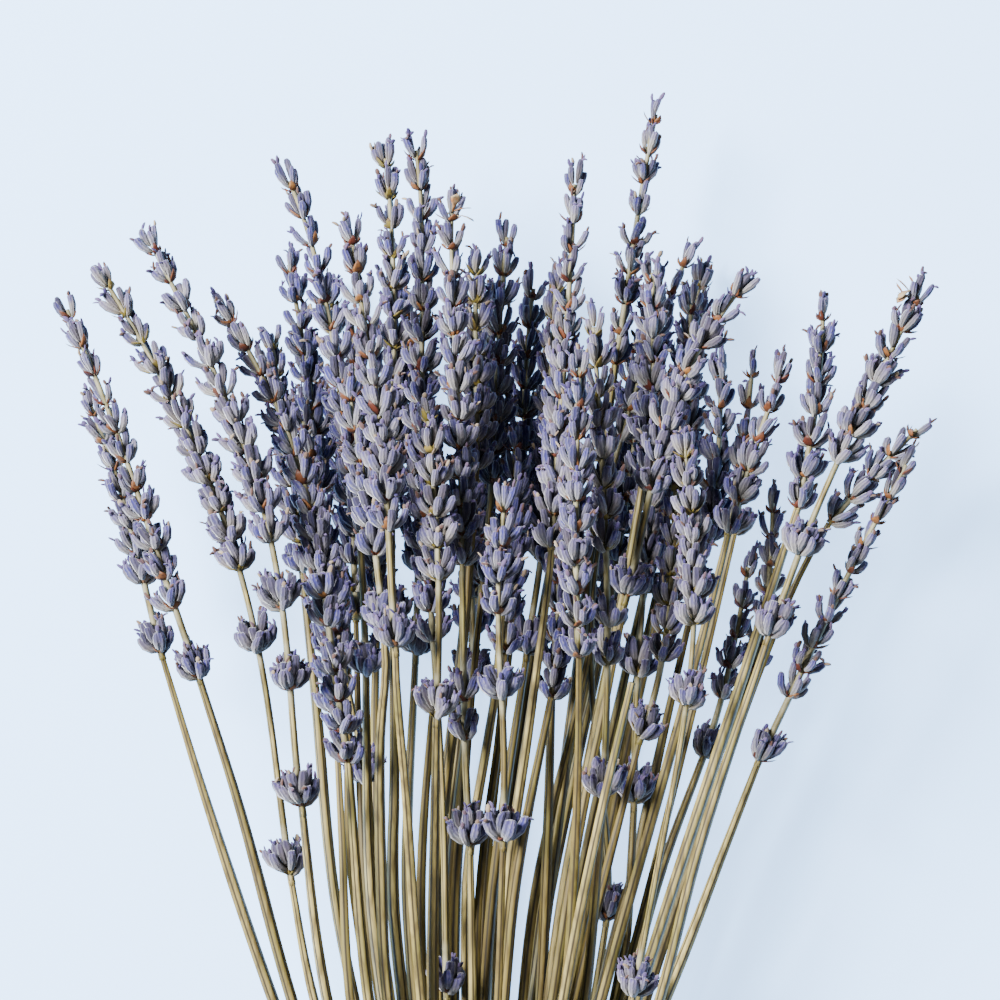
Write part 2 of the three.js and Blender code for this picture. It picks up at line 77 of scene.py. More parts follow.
# the midline of a head: polynomials fitted through its corners, which stand evenly round it, against the
# distance along its longest direction. Its foot counts most, so that it meets its stem.
def readMidline(corners):
    middle = corners.mean(0)
    axis = np.linalg.svd(corners - middle, full_matrices=False)[2][0]
    axis = axis * np.sign(axis[1])
    distance = (corners - middle) @ axis
    cubic, quintic = midline["degrees"]
    degree = cubic if np.ptp(distance) < midline["short"] else quintic
    weight = np.where(distance < distance.min() + midline["foot"], midline["footWeight"], 1)
    fits = [np.polynomial.Polynomial.fit(distance, corners[:, k], degree, w=weight) for k in range(3)]

    def place(t):
        return np.stack([fit(t) for fit in fits], -1)

    def heading(t):
        return unit(np.stack([fit.deriv()(t) for fit in fits], -1))

    return distance, place, heading


pressed = 1 * mm  # what lies lower than this is pressed flat, and stays above the table


# puts quads and triangles into a new mesh object, with its materials, point attributes and UVs. A height
# below pressed becomes pressed * exp(height / pressed - 1), which never reaches the table.
def makePiece(name, surfaces, materials):
    offsets = np.cumsum([0] + [len(s["verts"]) for s in surfaces[:-1]])
    quads = np.concatenate([s["quads"] + o for s, o in zip(surfaces, offsets)])
    tris = np.concatenate([s["tris"] + o for s, o in zip(surfaces, offsets)])
    slots = [np.full(len(s[kind]), s["slot"]) for kind in ("quads", "tris") for s in surfaces]
    uvs = [s[kind].reshape(-1, 2) for kind in ("quadUvs", "triUvs") for s in surfaces]
    verts = np.concatenate([s["verts"] for s in surfaces])
    low = verts[:, 2] < pressed
    verts[low, 2] = pressed * np.exp(verts[low, 2] / pressed - 1)
    mesh = bpy.data.meshes.new(name)
    mesh.vertices.add(len(verts))
    mesh.vertices.foreach_set("co", verts.astype(np.float32).ravel())
    mesh.loops.add(quads.size + tris.size)
    mesh.loops.foreach_set("vertex_index", np.concatenate([quads.ravel(), tris.ravel()]).astype(np.int32))
    sizes = np.concatenate([np.full(len(quads), 4), np.full(len(tris), 3)])
    mesh.polygons.add(len(sizes))
    mesh.polygons.foreach_set("loop_start", (np.cumsum(sizes) - sizes).astype(np.int32))
    mesh.polygons.foreach_set("material_index", np.concatenate(slots).astype(np.int32))
    mesh.polygons.foreach_set("use_smooth", np.ones(len(sizes), bool))
    strand = mesh.uv_layers.new(name="strand")
    strand.data.foreach_set("uv", np.concatenate(uvs).astype(np.float32).ravel())
    for key in surfaces[0]["facts"]:
        values = np.concatenate([s["facts"][key] for s in surfaces])
        mesh.attributes.new(key, "FLOAT", "POINT").data.foreach_set("value", values.astype(np.float32))
    for material in materials:
        mesh.materials.append(material)
    mesh.update()
    piece = bpy.data.objects.new(name, mesh)
    bpy.context.scene.collection.objects.link(piece)
    return piece


# many closed tubes at once. lines holds each tube's points from pole to pole; between the poles every point
# carries a ring, whose corners stand at wide * cos across and deep * sin through. Every second corner is
# drawn in by the share fluting. The UVs run from 0 to 1 round the tube and along it. A fact is one number
# for each tube, or one for each point of each.
def tubes(lines, across, through, wide, deep, sides, slot, facts, fluting=0.0):
    count, steps = lines.shape[:2]
    rings = steps - 2
    angle = np.arange(sides) / sides * turn
    swell = 1 - fluting * (0.5 - 0.5 * np.cos(angle * sides / 2))
    spread = across[:, 1:-1, None] * (wide[:, 1:-1, None] * np.cos(angle) * swell)[..., None]
    lift = through[:, 1:-1, None] * (deep[:, 1:-1, None] * np.sin(angle) * swell)[..., None]
    body = (lines[:, 1:-1, None] + spread + lift).reshape(count, -1, 3)
    verts = np.concatenate([lines[:, :1], body, lines[:, -1:]], 1)

    side = np.arange(sides)
    after = (side + 1) % sides
    ring = 1 + np.arange(rings - 1)[:, None] * sides
    quads = np.stack([ring + side, ring + sides + side, ring + sides + after, ring + after], -1)
    last = 1 + rings * sides
    foot = np.stack([0 * side, 1 + side, 1 + after], -1)
    top = np.stack([0 * side + last, last - sides + after, last - sides + side], -1)
    shift = (np.arange(count) * (last + 1))[:, None, None]

    u0, u1 = side / sides, (side + 1) / sides
    v = np.linspace(0, 1, steps)
    u = np.broadcast_to(np.stack([u0, u0, u1, u1], -1), (rings - 1, sides, 4))
    along = np.stack([v[1:-2], v[2:-1], v[2:-1], v[1:-2]], -1)[:, None] + 0 * u
    footUvs = np.stack([np.stack([u0, u0, u1], -1), np.tile(v[[0, 1, 1]], (sides, 1))], -1)
    topUvs = np.stack([np.stack([u0, u1, u0], -1), np.tile(v[[-1, -2, -2]], (sides, 1))], -1)

    def perCorner(fact):
        fact = np.array(fact, float)
        fact = np.broadcast_to(fact if fact.ndim == 2 else fact.reshape(-1, 1), (count, steps))
        return np.concatenate([fact[:, :1], np.repeat(fact[:, 1:-1], sides, 1), fact[:, -1:]], 1).ravel()

    return {
        "verts": verts.reshape(-1, 3),
        "quads": (quads.reshape(-1, 4) + shift).reshape(-1, 4),
        "tris": (np.concatenate([foot, top]) + shift).reshape(-1, 3),
        "quadUvs": np.tile(np.stack([u, along], -1).reshape(-1, 4, 2), (count, 1, 1)),
        "triUvs": np.tile(np.concatenate([footUvs, topUvs]), (count, 1, 1)),
        "facts": {key: perCorner(fact) for key, fact in facts.items()},
        "slot": slot,
    }


# midlines that lean out from a stalk: each starts at root, leaning out by the angle first, and turns evenly
# to the angle last over its length; out and way are unit vectors away from and along the stalk, and shares
# are the places of its points along it
def leaningLines(root, out, way, first, last, length, shares):
    lean = first[:, None] + (last - first)[:, None] * shares
    step = np.diff(shares) * length[:, None]
    middle = 0.5 * (lean[:, 1:] + lean[:, :-1])
    start = np.zeros((len(root), 1))
    reach = np.concatenate([start, np.cumsum(step * np.sin(middle), 1)], 1)
    rise = np.concatenate([start, np.cumsum(step * np.cos(middle), 1)], 1)
    lines = root[:, None] + out[:, None] * reach[..., None] + way[:, None] * rise[..., None]
    through = out[:, None] * np.cos(lean)[..., None] - way[:, None] * np.sin(lean)[..., None]
    across = np.broadcast_to(np.cross(way, out)[:, None], through.shape)
    return lines, across, through


paintLight = 0.25  # the lights are strong, so a paint is a quarter as light as its numbers say


# a colour from three numbers, 0 to 255 as on a screen: by the screen's curve each becomes a share of light
def paint(red, green, blue):
    share = np.array([red, green, blue]) / 255
    linear = np.where(share <= 0.04045, share / 12.92, ((share + 0.055) / 1.055) ** 2.4)
    return (*(linear * paintLight), 1.0)


# a material with a few short ways to add and join its nodes
class Look:
    def __init__(self, name, roughness, sheen=0.0):
        self.material = bpy.data.materials.new(name)
        self.material.use_nodes = True
        self.tree = self.material.node_tree
        self.shader = self.tree.nodes["Principled BSDF"]
        self.shader.inputs["Roughness"].default_value = roughness
        self.shader.inputs["Sheen Weight"].default_value = sheen
        self.shader.inputs["Specular IOR Level"].default_value = 0.3

    # sets a socket to a number or a colour, or joins it to another node's socket
    def put(self, socket, value):
        if isinstance(value, bpy.types.NodeSocket):
            self.tree.links.new(value, socket)
        else:
            socket.default_value = value

    def add(self, kind, **inputs):
        node = self.tree.nodes.new(kind)
        for key, value in inputs.items():
            self.put(node.inputs[key], value)
        return node

    # a number that tubes has put on the surface
    def fact(self, name):
        node = self.tree.nodes.new("ShaderNodeAttribute")
        node.attribute_name = name
        return node.outputs["Fac"]

    # how far round a tube a place is, and how far along it
    def strand(self):
        uv = self.tree.nodes.new("ShaderNodeUVMap")
        uv.uv_map = "strand"
        split = self.add("ShaderNodeSeparateXYZ", Vector=uv.outputs[0])
        return split.outputs[0], split.outputs[1]

    def maths(self, operation, a, b=0.0, c=0.0, clamp=False):
        node = self.tree.nodes.new("ShaderNodeMath")
        node.operation = operation
        node.use_clamp = clamp
        for socket, value in zip(node.inputs, (a, b, c)):
            self.put(socket, value)
        return node.outputs[0]

    # 0 at low, 1 at high, and even between
    def ramp(self, value, low, high):
        return self.maths("MULTIPLY_ADD", value, 1 / (high - low), -low / (high - low), clamp=True)

    def mix(self, share, a, b, blend="MIX"):
        node = self.tree.nodes.new("ShaderNodeMix")
        node.data_type = "RGBA"
        node.blend_type = blend
        self.put(node.inputs[0], share)
        self.put(node.inputs[6], a)
        self.put(node.inputs[7], b)
        return node.outputs[2]

    # the colour times another, as far as share says
    def darken(self, share, colour, by):
        return self.mix(share, colour, self.mix(1.0, colour, by, "MULTIPLY"))

    # a higher scale gives a finer noise
    def noise(self, scale, detail=2.0, stretch=None):
        place = self.tree.nodes.new("ShaderNodeTexCoord").outputs["Object"]
        if stretch:
            place = self.add("ShaderNodeMapping", Vector=place, Scale=stretch).outputs[0]
        return self.add("ShaderNodeTexNoise", Vector=place, Scale=scale, Detail=detail).outputs["Fac"]

    # the height is a pattern for the bumps
    def finish(self, colour, height=None, strength=0.5, distance=0.2 * mm):
        self.put(self.shader.inputs["Base Color"], colour)
        if height:
            bump = self.add("ShaderNodeBump", Height=height, Strength=strength, Distance=distance)
            self.put(self.shader.inputs["Normal"], bump.outputs[0])
        return self.material


calyxFinish = {
    # each where it is bluest and where it is palest
    "foot": (paint(142, 146, 122), paint(216, 212, 176)),
    "barrel": (paint(66, 66, 178), paint(184, 178, 182)),
    "mouth": (paint(56, 34, 146), paint(118, 92, 190)),
    "freshFoot": paint(188, 170, 84),
    "felt": paint(234, 227, 228),
    "rim": paint(52, 40, 78),
    # painted shade between two ribs
    "ribShade": (0.2, 0.18, 0.34, 1),  # what is left of the colour between two ribs
    # painted shade: the colour that calyxes deep within a whorl are darkened towards
    "deep": (0.22, 0.18, 0.27, 1),  # and deep within a whorl
    # from where to where along it the colour changes
    "toBarrel": (0.12, 0.5),
    "toMouth": (0.45, 0.8),
    "toRim": (0.84, 0.9),
    "feltShare": 0.35,
    "hollowShare": 0.45,
    "ribs": 7,
    "waver": 4.0,  # how far the ribs stray, in radians
    "grain": 1300,
    "grainHeight": 1.6,  # of the ribs' height
    "patches": 420,
    "patchRange": 1.6,  # of the way from bluest to palest
}


# a calyx: pale at the foot, grey to blue along its barrel and violet at the mouth, in patches. Its ribs
# carry pale felt, and the hollows between them are darkened as painted shade. Those inside a whorl and
# those of a lone whorl are darkened all over as painted shade, and each whorl and calyx by a random amount.
def calyxLook():
    look = Look("calyx", 0.85, 0.3)
    around, along = look.strand()
    speck = look.noise(calyxFinish["grain"])
    stray = look.maths("MULTIPLY", speck, calyxFinish["waver"])
    wave = look.maths("SINE", look.maths("MULTIPLY_ADD", around, calyxFinish["ribs"] * turn, stray))
    rib = look.maths("MULTIPLY_ADD", wave, 0.5, 0.5)
    strong = calyxFinish["patchRange"]
    patch = look.maths("MULTIPLY_ADD", look.noise(calyxFinish["patches"]), strong, -strong / 2)
    tone = look.maths("ADD", look.fact("tone"), patch, clamp=True)
    barrel = look.mix(tone, *calyxFinish["barrel"])
    mouth = look.mix(tone, *calyxFinish["mouth"])
    foot = look.mix(tone, *calyxFinish["foot"])
    foot = look.mix(look.fact("fresh"), foot, calyxFinish["freshFoot"])
    body = look.mix(look.ramp(along, *calyxFinish["toBarrel"]), foot, barrel)
    body = look.mix(look.ramp(along, *calyxFinish["toMouth"]), body, mouth)
    felt = look.ramp(look.maths("MULTIPLY", rib, speck), 0.3, 0.6)
    felt = look.maths("MULTIPLY", felt, calyxFinish["feltShare"])
    body = look.mix(felt, body, calyxFinish["felt"])
    # painted shade in the hollows between the ribs
    ribShade = look.maths("MULTIPLY", look.ramp(rib, 0.5, 0.0), calyxFinish["hollowShare"])
    body = look.darken(ribShade, body, calyxFinish["ribShade"])
    # painted shade: calyxes inside a whorl and in a lone whorl are darkened, on top of a random darkening
    body = look.darken(look.fact("deep"), body, calyxFinish["deep"])
    body = look.mix(look.ramp(along, *calyxFinish["toRim"]), body, calyxFinish["rim"])
    height = look.maths("ADD", rib, look.maths("MULTIPLY", speck, calyxFinish["grainHeight"]))
    return look.finish(body, height, 0.8, 0.15 * mm)


bractFinish = {
    "rust": (paint(122, 52, 26), paint(200, 136, 70)),
    "green": paint(166, 160, 60),
    "patch": paint(84, 44, 34),
    "tip": paint(96, 52, 40),
    "greenShare": 0.7,
    "patches": 900,
}


# rust coloured with darker patches, and yellow green on the heads that dried fresh
def bractLook():
    look = Look("bract", 0.65)
    along = look.strand()[1]
    colour = look.mix(look.fact("tone"), *bractFinish["rust"])
    green = look.maths("MULTIPLY", look.fact("fresh"), bractFinish["greenShare"])
    colour = look.mix(green, colour, bractFinish["green"])
    patch = look.ramp(look.noise(bractFinish["patches"]), 0.5, 0.75)
    colour = look.mix(patch, colour, bractFinish["patch"])
    return look.finish(look.mix(look.ramp(along, 0.7, 1.0), colour, bractFinish["tip"]))


floretFinish = {
    "violet": (paint(54, 38, 126), paint(124, 100, 158)),
    "brown": paint(112, 70, 58),
    "cream": paint(222, 196, 160),
}


# over half of the florets are violet, then come brown ones and a few cream ones
def floretLook():
    look = Look("floret", 0.8, 0.2)
    tone = look.fact("tone")
    colour = look.mix(look.ramp(tone, 0.0, 0.55), *floretFinish["violet"])
    colour = look.mix(look.ramp(tone, 0.55, 0.7), colour, floretFinish["brown"])
    return look.finish(look.mix(look.ramp(tone, 0.88, 1.0), colour, floretFinish["cream"]))


petalFinish = {
    "cream": paint(226, 200, 156),
    "brown": paint(204, 138, 82),
    "patches": 500,
    "grain": 1500,
}


# petals that dried open
def petalLook():
    look = Look("petal", 0.7)
    patch = look.ramp(look.noise(petalFinish["patches"]), 0.4, 0.6)
    colour = look.mix(patch, petalFinish["cream"], petalFinish["brown"])
    return look.finish(colour, look.noise(petalFinish["grain"]))


stemFinish = {
    "straw": (paint(160, 138, 66), paint(244, 220, 136)),  # from stem to stem
    "green": paint(152, 144, 62),
    "streak": paint(100, 76, 28),
    # painted shade along the four grooves
    "groove": paint(62, 50, 22),
    "felt": (paint(208, 200, 158), paint(158, 146, 94)),
    "streaks": 800,
    "streakStretch": (1, 0.03, 1),
    "streakShare": 0.65,
    "greenPatches": 60,
    "feltPatches": 260,
}


# straw with long streaks, darkened along its four grooves as painted shade. Near the whorls of a head it is
# paler and felted.
def stemLook():
    look = Look("stem", 0.6)
    around = look.strand()[0]
    ridge = look.maths("ABSOLUTE", look.maths("COSINE", look.maths("MULTIPLY", around, 2 * turn)))
    streak = look.noise(stemFinish["streaks"], 3.0, stemFinish["streakStretch"])
    straw = look.mix(look.fact("tone"), *stemFinish["straw"])
    green = look.ramp(look.noise(stemFinish["greenPatches"]), 0.45, 0.75)
    straw = look.mix(green, straw, stemFinish["green"])
    dark = look.maths("MULTIPLY", look.ramp(streak, 0.42, 0.62), stemFinish["streakShare"])
    straw = look.mix(dark, straw, stemFinish["streak"])
    # painted shade in the grooves, where the sides are drawn in
    straw = look.mix(look.ramp(ridge, 0.6, 0.15), straw, stemFinish["groove"])
    felt = look.mix(look.ramp(look.noise(stemFinish["feltPatches"]), 0.35, 0.65), *stemFinish["felt"])
    return look.finish(look.mix(look.fact("felted"), straw, felt), streak, 0.5, 0.3 * mm)


rubberFinish = {
    "tan": (paint(198, 150, 92), paint(168, 120, 68)),
    "patches": 90,
    "grain": 1200,
}


# two tans in soft patches
def rubberLook():
    look = Look("rubber", 0.42)
    colour = look.mix(look.noise(rubberFinish["patches"]), *rubberFinish["tan"])
    return look.finish(colour, look.noise(rubberFinish["grain"]), 0.2)


calyx = calyxLook()
bract = bractLook()
floret = floretLook()
petal = petalLook()
stem = stemLook()
rubber = rubberLook()
headMaterials = [calyx, bract, floret, stem, petal]
print("materials made")

bandLow, bandHigh = (np.array(corner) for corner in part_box("band"))
bandMiddle = (bandLow + bandHigh) / 2
aim = bandMiddle + np.array([5.06, 225.4, 0]) * mm  # the middle of the picture, from the band's

head = {
    "seed": 100,
    "pitch": 6.7 * mm,  # from whorl to whorl
    "fullRadius": 6.7 * mm,  # of the CAD's widest whorls
    "standOut": 1.3 * mm,  # corners further out than this belong to a whorl
    "below": 4 * mm,  # a whorl's foot is this far below its lowest such corners
    "above": 0.5 * mm,  # and its tips are this far above the topmost ones
    "tipRoom": 1.4 * mm,  # but on the topmost whorl this far below them, for its florets
    "whorlGap": 8 * mm,  # a longer stretch without such corners is bare stalk
    "single": 14 * mm,  # a shorter stretch with such corners is one whorl that stands alone
    "aloneAt": 0.4,  # a lone whorl starts at this share of its room
    "sight": 10 * mm,  # a whorl's radius is read this far up from its foot
    "green": 0.25,  # the share of the heads that dried fresh
}
# where the heads are bluer. Heads low in the bunch are bluer and darker as painted shade.
blue = {
    "places": ((-42, 14), (4, 10)),  # how far across from the picture's middle, and how wide, mm
    "low": 35,  # heads less than this above the band's middle are bluer too, mm
    "lowShare": 0.3,
    "share": 0.62,
    "chance": (-0.05, 0.35),
}
stalk = {
    "radius": 0.8 * mm,
    "taper": (1.1, 0.65),  # the share of it at the foot and at the tip
    "foot": 1 * mm,  # it starts this far below the CAD's head
    "tip": 2 * mm,  # and ends this far above the foot of the topmost whorl
    "seat": 0.6,  # what grows on it starts at this share of its radius
    "feltBelow": 2.5 * mm,  # how far it is felted below a whorl's foot
    "feltAbove": 9 * mm,  # and above it
    "fade": 3 * mm,
    "footFade": 4 * mm,  # from its own foot the felt comes on over this length
    "rings": 80,
    "sides": 8,
    "fluting": 0.2,
}
calyxes = {
    "length": 6.3 * mm,
    "radius": 1.16 * mm,
    "depth": 0.92,  # its half width the other way, as a share of the radius
    "sides": 8,
    "fluting": 0.1,
    # the number in a full whorl, how much faster it falls than the radius does, and how many more stand in
    # a lone whorl
    "outer": (8.6, 0.18, 3.5),
    "inner": (5.5, 0.3, 3),
    "numberChance": 0.8,
    "narrow": (0.74, 0.72),  # the share of the length and of the radius in the narrowest whorl
    "aloneBigger": 0.12,
    "innerTurn": 0.07,  # how far the inner ring is turned, as a share of a full turn
    "angleChance": 0.2,
    "rootChance": (-0.7, 0.9),  # along the stalk, mm
    "innerRise": 1.3 * mm,
    "lengthChance": (0.8, 1.12),
    "sizeChance": (0.8, 1.1),
    "inside": 0.8,  # the share of its radius by which its midline stays inside the whorl's
    "leanSines": (0.12, 0.75),  # the least and the most
    "innerLean": 0.45,
    "leanChance": (0.65, 1.2),
    "footLean": 1.95,  # at its foot it leans out by this share of its lean, but no more than steepest
    "steepest": 1.35,
    "tipLean": 0.05,  # and at its tip by this share
    "bend": 0.13,
    "mouthChance": (0.75, 1.5),
    "tone": (0.68, -0.55, 0.28),  # in a head that isn't blue, what the blue changes, and the chance
    # how far a calyx is darkened: a random darkening, with painted shade added for the inner ring and lone
    # whorls
    "deep": (0.1, 0.17, 0.26),  # on average, and its chance from whorl to whorl and from calyx to calyx
    "innerPaintedShade": 0.5,
    "alonePaintedShade": 0.25,
}
florets = {
    "share": 0.75,  # of the calyxes that carry some
    "most": 3,
    "out": 0.3 * mm,  # they stand this far from a mouth's middle
    "first": (0.1, 0.8),  # how far it leans at its foot, in radians
    "curl": 0.9,  # and how much that changes towards its tip
    "length": (1.3, 2.4),  # mm
    "width": (0.3, 0.7),  # half of it, mm
    "depth": 0.6,
    "sides": 5,
}
petals = {
    "spots": np.array([[-6.7, 66.8], [87.5, 46.3]]) * mm,  # where they show, from the picture's middle
    "near": 8 * mm,  # a spot's petals grow on the topmost whorl that is so near to it
    "lift": 2 * mm,
    "count": 6,
    "spread": 0.45,
    "first": (0.6, 1.5),  # how far it leans at its foot, in radians
    "curl": 0.7,  # and how much that changes towards its tip
    "length": (4.5, 7),  # mm
    "width": (0.9, 1.4),  # half of it, mm
    "rise": (0.3, 2.5),  # mm
    "thick": 0.12 * mm,  # half of it
    "sides": 6,
}
bracts = {
    "broad": 3,
    "broadWidth": (0.75, 0.75),  # and how much it grows with the whorl's radius
    "slender": (3, 7),  # the fewest, and one more than the most
    "slenderWidth": 0.36,
    "below": 0.3 * mm,
    "length": (1.7, 1.5),  # mm, and how much it grows with the width
    "lengthChance": (0.7, 1.25),
    "widthChance": (0.75, 1.15),
    "first": (0.8, 1.25),  # how far it leans at its foot, in radians
    "curl": (0.1, 0.8),  # and the share of that at its tip
    "thick": 0.14 * mm,  # half of it
    "sides": 6,
    "pale": (0.35, 0.35),  # on average, and its chance
}
# outlines from foot to tip: share of the length, share of the half width. A calyx turns in at its mouth.
calyxShape = np.array([
    [0, 0], [0.04, 0.38], [0.26, 0.76], [0.58, 1], [0.84, 0.93], [0.97, 0.62], [1, 0.32], [0.92, 0],
])
mouthRings = slice(5, 7)  # of them
bractShape = np.array([[0, 0], [0.08, 0.6], [0.35, 1], [0.7, 0.62], [1, 0]])
floretShape = np.array([[0, 0], [0.12, 0.8], [0.5, 1], [0.85, 0.7], [1, 0]])
petalShape = np.array([[0, 0], [0.06, 0.2], [0.4, 0.3], [0.62, 0.85], [0.82, 1], [1, 0]])
toneWave = (400, 260)  # across and along, in radians to the metre


# how pale a stem is, from 0 to 1: a sine wave over the places where the stems meet their heads
def stemTone(place):
    return 0.5 + 0.5 * np.sin(place[0] * toneWave[0] + place[1] * toneWave[1])


# where the whorls of a head stand along its midline, how wide each is and whether it stands alone
def readWhorls(distance, radii):
    stands = np.sort(distance[radii > head["standOut"]])
    breaks = np.flatnonzero(np.diff(stands) > head["whorlGap"])
    starts = np.concatenate([[stands[0]], stands[breaks + 1]]) - head["below"]
    ends = np.concatenate([stands[breaks] + head["above"], [stands[-1] - head["tipRoom"]]])
    whorls = []
    for start, end in zip(starts, ends):
        alone = end - start < head["single"] and end < ends[-1]
        room = end - start - calyxes["length"]
        count = 1 if alone else max(1, int(round(room / head["pitch"])) + 1)
        first = start if count > 1 else start + head["aloneAt"] * room
        for s in np.linspace(first, end - calyxes["length"], count):
            near = (distance > s) & (distance < s + head["sight"])
            whorls.append((s, radii[near].max(), alone))
    return whorls


# a whorl's calyxes: an outer ring that leans out to the whorl's radius and an inner one that stands up,
# each at even angles with a little chance. A whorl that stands alone is fuller and bigger.
def whorlCalyxes(rng, s, radius, alone, place, heading):
    share = min(1, radius / head["fullRadius"])

    def number(full, fall, more):
        chance = rng.normal(0, calyxes["numberChance"])
        return max(1, int(round(full * ((1 + fall) * share - fall) + alone * more + chance)))

    outer = number(*calyxes["outer"])
    inner = number(*calyxes["inner"])
    count = outer + inner
    bigger = 1 + calyxes["aloneBigger"] * alone
    angles = [np.arange(outer) / outer, np.arange(inner) / inner + calyxes["innerTurn"]]
    angles = np.concatenate(angles) * turn
    angles += rng.random() * turn + rng.normal(0, calyxes["angleChance"], count)
    isInner = np.arange(count) >= outer
    at = s + rng.uniform(*calyxes["rootChance"], count) * mm + isInner * calyxes["innerRise"]
    way = heading(at)
    side, up = sideways(way)
    out = side * np.cos(angles)[:, None] + up * np.sin(angles)[:, None]
    shorter, thinner = calyxes["narrow"]
    length = calyxes["length"] * rng.uniform(*calyxes["lengthChance"], count)
    length = length * (shorter + (1 - shorter) * share) * bigger
    size = rng.uniform(*calyxes["sizeChance"], count) * (thinner + (1 - thinner) * share) * bigger
    sine = (radius * bigger - calyxes["radius"] * calyxes["inside"]) / length
    lean = np.arcsin(np.clip(sine, *calyxes["leanSines"])) * np.where(isInner, calyxes["innerLean"], 1)
    lean = lean * rng.uniform(*calyxes["leanChance"], count)
    root = place(at) + out * stalk["radius"] * stalk["seat"]
    # painted shade for the inner ring and for lone whorls, on top of a random darkening
    average, whorlChance, chance = calyxes["deep"]
    deep = rng.normal(average, whorlChance) + rng.normal(0, chance, count)
    deep = np.clip(deep + isInner * calyxes["innerPaintedShade"] + alone * calyxes["alonePaintedShade"], 0, 1)
    whorl = {"root": root, "out": out, "way": way, "lean": lean, "length": length, "size": size}
    return {**whorl, "deep": deep}


# shrivelled florets in the mouths of some calyxes, each a flat tube along a line that leans any way
def makeFlorets(rng, lines, facts):
    chosen = np.flatnonzero(rng.random(len(lines)) < florets["share"])
    chosen = np.repeat(chosen, rng.integers(1, florets["most"] + 1, len(chosen)))
    count = len(chosen)
    mouth = lines[chosen, -1]
    way = unit(lines[chosen, -4] - lines[chosen, -5])
    out = rng.normal(0, 1, (count, 3))
    out = unit(out - way * (out * way).sum(1, keepdims=True))
    first = rng.uniform(*florets["first"], count)
    last = first + rng.normal(0, florets["curl"], count)
    length = rng.uniform(*florets["length"], count) * mm
    root = mouth + out * florets["out"]
    line, across, through = leaningLines(root, out, way, first, last, length, floretShape[:, 0])
    wide = rng.uniform(*florets["width"], count)[:, None] * mm * floretShape[:, 1]
    facts = {**facts, "tone": rng.random(count)}
    slot = headMaterials.index(floret)
    return tubes(line, across, through, wide, wide * florets["depth"], florets["sides"], slot, facts)


# a few dried petals, pale and curled, that stand out from a whorl towards one side on narrow claws. Each is
# a thin tube along a leaning line.
def makePetals(rng, root, towards, way, facts):
    count = petals["count"]
    out = towards + rng.normal(0, petals["spread"], (count, 3))
    out = unit(out - way * (out * way).sum(1, keepdims=True))
    first = rng.uniform(*petals["first"], count)
    last = first + rng.normal(0, petals["curl"], count)
    length = rng.uniform(*petals["length"], count) * mm
    root = root + out * stalk["radius"] * stalk["seat"]
    root = root + way * rng.uniform(*petals["rise"], (count, 1)) * mm
    way = np.tile(way, (count, 1))
    line, across, through = leaningLines(root, out, way, first, last, length, petalShape[:, 0])
    wide = rng.uniform(*petals["width"], count)[:, None] * mm * petalShape[:, 1]
    thick = np.full_like(wide, petals["thick"])
    facts = {**facts, "tone": 0}
    slot = headMaterials.index(petal)
    return tubes(line, across, through, wide, thick, petals["sides"], slot, facts)


# papery bracts clasp each whorl from below: a few broad ones, evenly round it, and some slender ones. A
# wider whorl has broader ones, and a broader one is longer. Each is a thin tube along a leaning line.
def makeBracts(rng, whorls, place, heading, facts):
    at, angles, broad = [], [], []
    even = np.arange(bracts["broad"]) / bracts["broad"]
    narrow, wider = bracts["broadWidth"]
    for s, radius, alone in whorls:
        slender = rng.integers(*bracts["slender"])
        at += [s - bracts["below"]] * (bracts["broad"] + slender)
        angles += list((rng.random() + even) * turn) + list(rng.uniform(0, turn, slender))
        broad += [narrow + wider * radius / head["fullRadius"]] * bracts["broad"]
        broad += [bracts["slenderWidth"]] * slender
    at, angles, broad = np.array(at), np.array(angles), np.array(broad)
    count = len(at)
    way = heading(at)
    side, up = sideways(way)
    out = side * np.cos(angles)[:, None] + up * np.sin(angles)[:, None]
    short, longer = bracts["length"]
    length = (short + longer * broad) * mm * rng.uniform(*bracts["lengthChance"], count)
    first = rng.uniform(*bracts["first"], count)
    last = first * rng.uniform(*bracts["curl"], count)
    root = place(at) + out * stalk["radius"] * stalk["seat"]
    line, across, through = leaningLines(root, out, way, first, last, length, bractShape[:, 0])
    wide = (broad * rng.uniform(*bracts["widthChance"], count))[:, None] * mm * bractShape[:, 1]
    thick = np.full_like(wide, bracts["thick"])
    facts = {**facts, "tone": np.clip(rng.normal(*bracts["pale"], count), 0, 1)}
    slot = headMaterials.index(bract)
    return tubes(line, across, through, wide, thick, bracts["sides"], slot, facts)


# the stalk of a head: a square tube along its midline, thinning towards the tip. It is felted near the
# whorls, but not where its stem begins.
def makeStalk(distance, whorls, place, heading, facts):
    t = np.linspace(distance.min() - stalk["foot"], whorls[-1][0] + stalk["tip"], stalk["rings"])
    t = np.concatenate([t[:1], t, t[-1:]])
    side, up = sideways(heading(t))
    after = t[:, None] - np.array([s for s, radius, alone in whorls])
    bare = np.maximum(-after - stalk["feltBelow"], after - stalk["feltAbove"]).min(1)
    felted = np.clip(1 - bare / stalk["fade"], 0, 1)
    felted = np.minimum(felted, np.clip((t - distance.min()) / stalk["footFade"], 0, 1))
    thick = np.linspace(*stalk["taper"], len(t))[None] * stalk["radius"]
    facts = {**facts, "tone": stemTone(place(t[0])), "felted": felted[None]}
    sides, slot = stalk["sides"], headMaterials.index(stem)
    return tubes(place(t)[None], side[None], up[None], thick, thick, sides, slot, facts, stalk["fluting"])


